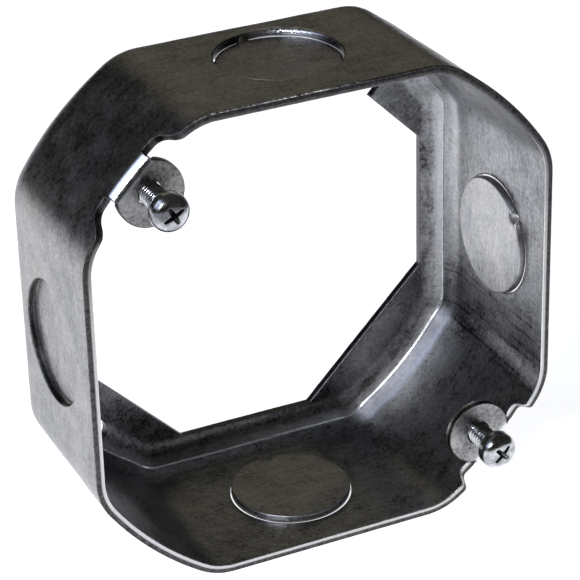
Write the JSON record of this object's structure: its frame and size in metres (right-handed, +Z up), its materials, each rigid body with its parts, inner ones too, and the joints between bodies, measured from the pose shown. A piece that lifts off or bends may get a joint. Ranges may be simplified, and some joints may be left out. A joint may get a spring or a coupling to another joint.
{
  "type": "octagon box extension ring",
  "caption": "Open octagonal steel ring with bowed corners, a turned-in back flange, wall knockouts and screws in bent ears, used to deepen or join an electrical junction box.",
  "frame": {"origin": "middle of the bounding box in X and Y, on the outside of the bottom wall that the ring stands on", "axes": "+Y along the ring's axis from the open front rim to the back flange, +Z up through the top knockout, +X through the right knockout"},
  "size_m": [0.0896, 0.0458, 0.0895],
  "materials": {
    "galvanised_sheet": "galvanised sheet with faint spangle, scratches and bright cut edges",
    "knockout_sheet": "galvanised sheet, slightly brighter than the wall round it",
    "zinc_screw": "bright zinc plate"
  },
  "bodies": {
    "ring": {"ring_shell": "galvanised_sheet"},
    "slug_right": {"knockout_right": "knockout_sheet"},
    "slug_bottom": {"knockout_bottom": "knockout_sheet"},
    "slug_left": {"knockout_left": "knockout_sheet"},
    "slug_top": {"knockout_top": "knockout_sheet"},
    "fastener_upper_left": {"screw_upper_left": "zinc_screw"},
    "fastener_lower_right": {"screw_lower_right": "zinc_screw"}
  },
  "joints": [
    {"name": "knockout_right_fold", "type": "hinge", "parent": "ring", "child": "slug_right", "pos_m": [0.0419, -0.00603, 0.05182], "axis": [0, 0.6428, 0.766], "range_deg": [0, 90]},
    {"name": "knockout_bottom_fold", "type": "hinge", "parent": "ring", "child": "slug_bottom", "pos_m": [0, 0.0134, 0.00285], "axis": [-1, 0, 0], "range_deg": [0, 90]},
    {"name": "knockout_left_fold", "type": "hinge", "parent": "ring", "child": "slug_left", "pos_m": [-0.0419, -0.00757, 0.0401], "axis": [0, 0.4226, -0.9063], "range_deg": [0, 90]},
    {"name": "knockout_top_fold", "type": "hinge", "parent": "ring", "child": "slug_top", "pos_m": [-0.00191, 0.01323, 0.08665], "axis": [0.9848, 0.1736, 0], "range_deg": [0, 90]},
    {"name": "screw_upper_left_travel", "type": "slide", "parent": "ring", "child": "fastener_upper_left", "axis": [0, 1, 0], "range_m": [-0.0049, 0.0062]},
    {"name": "screw_lower_right_travel", "type": "slide", "parent": "ring", "child": "fastener_lower_right", "axis": [0, 1, 0], "range_m": [-0.0057, 0.0054]}
  ]
}
